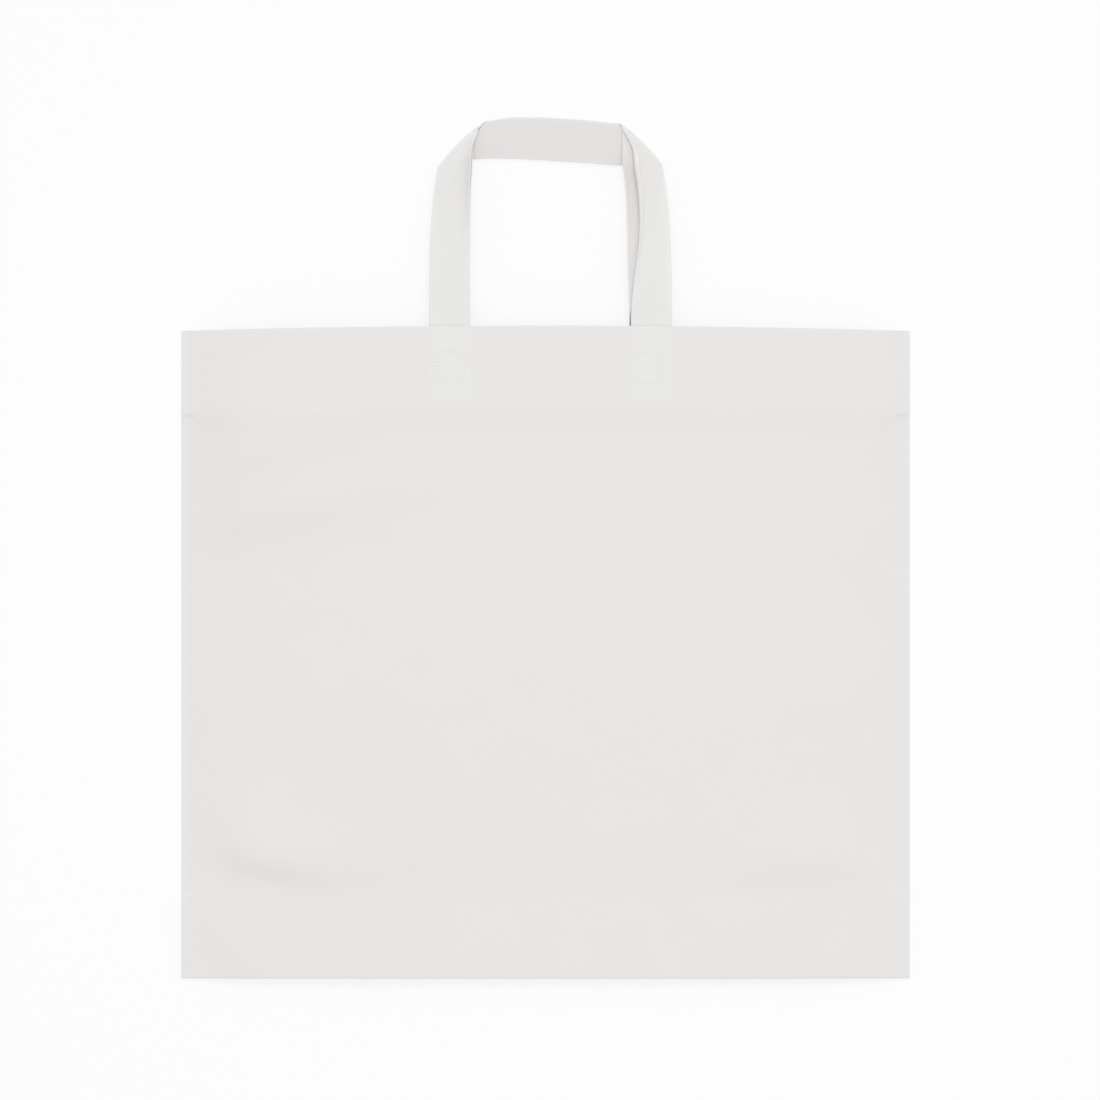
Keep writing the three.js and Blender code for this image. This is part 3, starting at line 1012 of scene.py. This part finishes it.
def strap_mesh(name, loop, rows):
    """The strap as a closed ribbon with rounded edges, and its length."""
    width, half = loop.width, loop.thick / 2
    across = loop.across * width
    middle = np.array(rows)
    ahead = np.gradient(middle, axis=0)
    side = np.gradient(middle, axis=1)
    normal = np.cross(ahead, side)
    normal /= np.linalg.norm(normal, axis=2)[:, :, None]
    inset = np.minimum(across, width - across)
    thickness = half * np.sqrt(np.clip(1 - (1 - np.minimum(inset / half, 1)) ** 2, 0, 1))
    upper = middle + normal * thickness[None, :, None]
    lower = middle - normal * thickness[None, :, None]
    columns = len(across)
    around = 2 * columns - 2
    rings = np.concatenate([upper, lower[:, -2:0:-1]], axis=1)
    count = len(rows)
    points = rings.reshape(-1, 3)
    faces = []
    for i in range(count - 1):
        for j in range(around):
            k = (j + 1) % around
            a, b = i * around, (i + 1) * around
            faces.append([a + j, b + j, b + k, a + k])
    for i, flip in ((0, False), (count - 1, True)):
        for j in range(columns - 1):
            ring = [j, j + 1, (around - j - 1) % around, (around - j) % around]
            ring = [i * around + r for r in dict.fromkeys(ring)]
            if len(ring) > 2:
                faces.append(ring[::-1] if flip else ring)
    mesh = new_mesh(name, points, faces)
    smooth_until(mesh, (count - 1) * around)
    centre = middle[:, columns // 2]
    run = np.concatenate([[0], np.cumsum(np.linalg.norm(np.diff(centre, axis=0), axis=1))])
    order = list(range(columns)) + list(range(columns - 2, 0, -1))
    flat = np.array([[across[j], run[i]] for i in range(count) for j in order])
    set_uv(mesh, flat)
    store(mesh, "backing", np.ones(len(points)))
    store(mesh, "pressed", np.zeros(len(points)))
    return mesh, run[-1]


# Materials


def spunbond(look, name, plain, backed, softness):
    """Spunbond polypropylene: endless fibres laid at random and welded in small pressed
    points. Matte and warm white, letting a little light through as far as its softness goes,
    with a fine embossed grain and soft clouding, and smoother and greyer where a weld melted
    it to film. Where plies lie behind it, its colour is mixed towards the backed one: painted
    light for what would show back through the thin fabric."""
    material = bpy.data.materials.new(name)
    material.use_nodes = True
    tree = material.node_tree
    shader = tree.nodes["Principled BSDF"]
    place = add(tree, "ShaderNodeUVMap", uv_map="blank")
    # Real bond points are about 1.5 mm apart; they are drawn a half coarser, to show.
    per_metre = 1 / look.bond_pitch
    slant = add(
        tree, "ShaderNodeMapping",
        {"Vector": place, "Rotation": (0, 0, math.radians(45)),
         "Scale": (per_metre, per_metre, 1)},
    )
    points = add(
        tree, "ShaderNodeTexVoronoi", {"Vector": slant, "Scale": 1.0, "Randomness": 0.0},
        voronoi_dimensions="2D", feature="F1",
    )
    bond = add(
        tree, "ShaderNodeMapRange",
        {"Value": points.outputs["Distance"], "From Min": BOND_FLAT, "From Max": BOND_EDGE,
         "To Min": 1.0, "To Max": 0.0},
        interpolation_type="SMOOTHSTEP",
    )
    fibres = add(
        tree, "ShaderNodeTexNoise",
        {"Vector": place, "Scale": 1 / (FIBRE_SPACING * MM), "Detail": 2.0,
         "Roughness": 0.6, "Distortion": 1.5},
    )
    clouds = add(
        tree, "ShaderNodeTexNoise",
        {"Vector": place, "Scale": 1 / (CLOUD_SIZE * MM), "Detail": 1.0},
    )
    behind, pressed = (
        add(tree, "ShaderNodeAttribute", attribute_name=attribute).outputs["Fac"]
        for attribute in ("backing", "pressed")
    )
    # Painted light: the colour turns towards the lighter backed one where plies or a tail lie
    # behind the fabric
    base = add(
        tree, "ShaderNodeMix", {0: behind, 6: tuple(plain), 7: tuple(backed)},
        data_type="RGBA",
    ).outputs[2]
    # Each noise runs between these two levels, which become darker and lighter fabric.
    tone, grain = (
        add(
            tree, "ShaderNodeMapRange",
            {"Value": noise, "From Min": low, "From Max": high, "To Min": 1 - change,
             "To Max": 1 + change},
        )
        for noise, low, high, change in (
            (clouds, 0.3, 0.7, CLOUD_TONE), (fibres, 0.2, 0.8, FIBRE_TONE)
        )
    )
    level = add(tree, "ShaderNodeMath", {0: tone, 1: grain}, operation="MULTIPLY")
    toned = add(tree, "ShaderNodeVectorMath", {0: base, "Scale": level}, operation="SCALE")
    melted = add(tree, "ShaderNodeMath", {0: pressed, 1: FILM_SHARE}, operation="MULTIPLY")
    shade = add(
        tree, "ShaderNodeMix", {0: melted, 6: toned, 7: tuple(look.film)}, data_type="RGBA"
    )
    tree.links.new(shade.outputs[2], shader.inputs["Base Color"])
    rough = add(
        tree, "ShaderNodeMapRange",
        {"Value": pressed, "From Min": 0.0, "From Max": 1.0, "To Min": FABRIC_ROUGHNESS,
         "To Max": FILM_ROUGHNESS},
    )
    tree.links.new(rough.outputs[0], shader.inputs["Roughness"])
    # The fibres stand half as high as the bond points are deep, and film has no grain.
    loft = add(tree, "ShaderNodeMath", {0: fibres, 1: 0.5}, operation="MULTIPLY")
    raised = add(tree, "ShaderNodeMath", {0: loft, 1: bond}, operation="SUBTRACT")
    free = add(tree, "ShaderNodeMath", {0: 1.0, 1: pressed}, operation="SUBTRACT")
    height = add(tree, "ShaderNodeMath", {0: raised, 1: free}, operation="MULTIPLY")
    bump = add(
        tree, "ShaderNodeBump",
        {"Height": height, "Strength": GRAIN_STRENGTH, "Distance": GRAIN_HEIGHT * MM},
    )
    tree.links.new(bump.outputs[0], shader.inputs["Normal"])
    shader.inputs["IOR"].default_value = 1.49
    shader.inputs["Specular IOR Level"].default_value = 0.3
    shader.inputs["Sheen Weight"].default_value = 0.05
    shader.inputs["Sheen Roughness"].default_value = 0.5
    shader.inputs["Subsurface Weight"].default_value = softness
    shader.inputs["Subsurface Radius"].default_value = (1, 1, 1)
    shader.inputs["Subsurface Scale"].default_value = 1.0 * MM
    return material


def table_material():
    """A plain white studio sweep, painted matte. The camera sees it close to white, with
    the bag's shadow kept; the bag gets the bounce of a pale matte floor."""
    material = bpy.data.materials.new("matte_white_sweep")
    material.use_nodes = True
    tree = material.node_tree
    shader = tree.nodes["Principled BSDF"]
    paint = add(
        tree, "ShaderNodeMix",
        {0: seen_directly(tree, 1.0, 0.0), 6: (FLOOR_BOUNCE,) * 3 + (1,),
         7: (FLOOR_SEEN,) * 3 + (1,)},
        data_type="RGBA",
    )
    tree.links.new(paint.outputs[2], shader.inputs["Base Color"])
    shader.inputs["Roughness"].default_value = 1.0
    shader.inputs["Specular IOR Level"].default_value = 0.0
    shader.inputs["Emission Color"].default_value = (1, 1, 1, 1)
    tree.links.new(seen_directly(tree, FLOOR_GLOW, 0.0), shader.inputs["Emission Strength"])
    return material


def seen_directly(tree, seen, unseen):
    """One number for rays from the camera, a gloss or a glass, another for the rest."""
    path = add(tree, "ShaderNodeLightPath").outputs
    first = add(
        tree, "ShaderNodeMath",
        {0: path["Is Camera Ray"], 1: path["Is Glossy Ray"]}, operation="MAXIMUM",
    )
    second = add(
        tree, "ShaderNodeMath",
        {0: first, 1: path["Is Transmission Ray"]}, operation="MAXIMUM",
    )
    return add(
        tree, "ShaderNodeMapRange",
        {"Value": second, "From Min": 0.0, "From Max": 1.0,
         "To Min": unseen, "To Max": seen},
    ).outputs[0]


# Stage


def white_world():
    """An even white sky, which the camera itself sees at full brightness."""
    world = bpy.data.worlds.new("white_studio")
    world.use_nodes = True
    tree = world.node_tree
    sky = tree.nodes["Background"]
    sky.inputs["Color"].default_value = (1, 1, 1, 1)
    tree.links.new(seen_directly(tree, 1.0, SKY_SHARE), sky.inputs["Strength"])
    return world


def table_mesh():
    """A square of table, right below the bag."""
    far = TABLE_REACH
    corners = [(-far, -far), (far, -far), (far, far), (-far, far)]
    mesh = bpy.data.meshes.new("table_top")
    mesh.from_pydata([(x, y, -TABLE_DROP) for x, y in corners], [], [(0, 1, 2, 3)])
    mesh.materials.append(table_material())
    return mesh


def hang_lamps():
    """A wide soft lamp beyond the loops and a square one above the bag."""
    lamp = bpy.data.lights.new("softbox_beyond", "SUN")
    slope = math.radians(KEY_ELEVATION)
    lamp.energy = KEY_SHARE * math.pi / math.sin(slope)
    lamp.angle = math.radians(KEY_WIDTH)
    key = link("softbox_beyond", lamp)
    key.rotation_euler = (0, math.pi / 2 - slope, math.radians(KEY_AZIMUTH))

    lamp = bpy.data.lights.new("softbox_above", "AREA")
    lamp.shape = "SQUARE"
    lamp.size = ABOVE_SIZE
    lamp.energy = ABOVE_SHARE * (math.pi * ABOVE_HEIGHT) ** 2
    above = link("softbox_above", lamp)
    above.location = (ABOVE_X, ABOVE_Y, ABOVE_HEIGHT)


def overhead_camera():
    """A camera straight above the bag, which frames it as the picture does."""
    pixel = (BODY_HIGH.x - BODY_LOW.x) / BODY_PIXELS
    camera = bpy.data.cameras.new("overhead")
    camera.sensor_width = SENSOR_WIDTH
    camera.lens = SENSOR_WIDTH * CAMERA_HEIGHT / (PICTURE_SIZE * pixel)
    camera.clip_end = CAMERA_LIMIT
    eye = link("overhead", camera)
    centre = PICTURE_SIZE / 2
    across, up = (centre - MIDDLE_COLUMN) * pixel, (MIDDLE_ROW - centre) * pixel
    eye.location = (across, up, CAMERA_HEIGHT)
    return eye


# Operators


class MakeStage(bpy.types.Operator):
    """Lays the pale table, hangs the lamps and sets the camera over the bag"""

    bl_idname = "carrier.stage"
    bl_label = "Stage"

    def execute(self, context):
        scene = context.scene
        scene.view_settings.view_transform = "Standard"
        scene.world = white_world()
        link("table_top", table_mesh())
        hang_lamps()
        scene.camera = overhead_camera()
        return {"FINISHED"}


class MakeBody(bpy.types.Operator):
    """Folds the fabric body, presses its weld marks and lets it stand for bag_body"""

    bl_idname = "carrier.body"
    bl_label = "Carrier body"

    def execute(self, context):
        bag = context.scene.carrier_bag
        body, weld, look = bag.body, bag.weld, bag.look
        blank = Blank(body)
        material = spunbond(
            look, "spunbond_polypropylene", look.body, look.backed, BODY_SOFTNESS
        )
        obj = link("carrier_body", body_mesh(blank, bag.strap, weld))
        # Both prints are level, at their drop below the mouth's edge over the left one.
        mouth = float(blank.mouth(np.array(weld.left / MM)))
        run_tree(obj, weld_tree(), {
            "Print width": weld.print_width,
            "Print height": weld.print_height,
            "Corner radius": weld.corner,
            "Bar pitch": weld.bar_pitch,
            "Bar length": weld.bar_length,
            "Left print": weld.left,
            "Right print": weld.right,
            "Print middle": mouth * MM - weld.drop,
            "Seam spacing": body.width - 2 * body.seam,
            "First dash": weld.dash_pitch / 2,
            "Dash pitch": weld.dash_pitch,
            "Dash length": weld.dash_length,
            "Mark width": weld.press_width,
            "Depth": weld.depth,
            "Dashes": round(body.height / weld.dash_pitch),
            "Fabric": material,
        })
        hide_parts("bag_body")
        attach(obj, "root")
        return {"FINISHED"}


class MakeStraps(bpy.types.Operator):
    """Makes the two loop straps and lets them stand for their nodes"""

    bl_idname = "carrier.straps"
    bl_label = "Loop straps"

    def execute(self, context):
        bag = context.scene.carrier_bag
        blank = Blank(bag.body)
        thick = bag.strap.thickness / MM
        front_top = thick / 2
        rear_top = front_top + thick + TOP_GAP
        rear_leg = rear_top + thick + TURN_GAP
        front_leg = rear_leg + thick + LEG_GAP
        swing = front_leg - front_top + thick
        front_tail = blank.mouth_height - TAIL_LEVEL
        front = Loop(blank, bag.strap, 0, (front_tail, front_leg, front_top, swing))
        rear = Loop(blank, bag.strap, REAR_INSET, (TAIL_LEVEL, rear_leg, rear_top, swing))
        front_rows = front.rows(FRONT_LEFT_CURL, FRONT_RIGHT_CURL)
        rear_rows = rear.rows(REAR_LEFT_CURL, REAR_RIGHT_CURL, REAR_BOW, REAR_SAG, REAR_HUG)
        # The rear strap gets its darker tint here, which is painted shade
        for name, node, loop, rows, tint in (
            ("front_strap", "front_handle", front, front_rows, bag.look.strap),
            ("rear_strap", "rear_handle", rear, rear_rows, bag.look.rear_strap),
        ):
            mesh, length = strap_mesh(name, loop, rows)
            mesh.materials.append(
                spunbond(bag.look, f"spunbond_{name}", tint, tint, STRAP_SOFTNESS)
            )
            obj = link(name, mesh)
            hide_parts(node)
            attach(obj, "root")
        return {"FINISHED"}


class CarrierPanel(bpy.types.Panel):
    """Lists the bag's operators and sizes"""

    bl_idname = "VIEW3D_PT_carrier_bag"
    bl_label = "Carrier Bag"
    bl_space_type = "VIEW_3D"
    bl_region_type = "UI"
    bl_category = "Carrier Bag"

    def draw(self, context):
        bag = context.scene.carrier_bag
        for operator in (MakeStage, MakeBody, MakeStraps):
            self.layout.operator(operator.bl_idname)
        for title, group in (
            ("Body", bag.body), ("Straps", bag.strap), ("Welds", bag.weld), ("Look", bag.look)
        ):
            box = self.layout.box()
            box.label(text=title)
            for name in group.bl_rna.properties.keys():
                if name not in ("rna_type", "name"):
                    box.prop(group, name)


CLASSES = (
    BodySizes, StrapSizes, WeldSizes, FabricLook, CarrierBag,
    MakeStage, MakeBody, MakeStraps, CarrierPanel,
)


def register():
    for cls in CLASSES:
        bpy.utils.register_class(cls)
    bpy.types.Scene.carrier_bag = bpy.props.PointerProperty(type=CarrierBag)


def unregister():
    del bpy.types.Scene.carrier_bag
    for cls in reversed(CLASSES):
        bpy.utils.unregister_class(cls)


def main():
    register()
    bpy.ops.carrier.stage()
    bpy.ops.carrier.body()
    bpy.ops.carrier.straps()


if __name__ == "__main__":
    main()
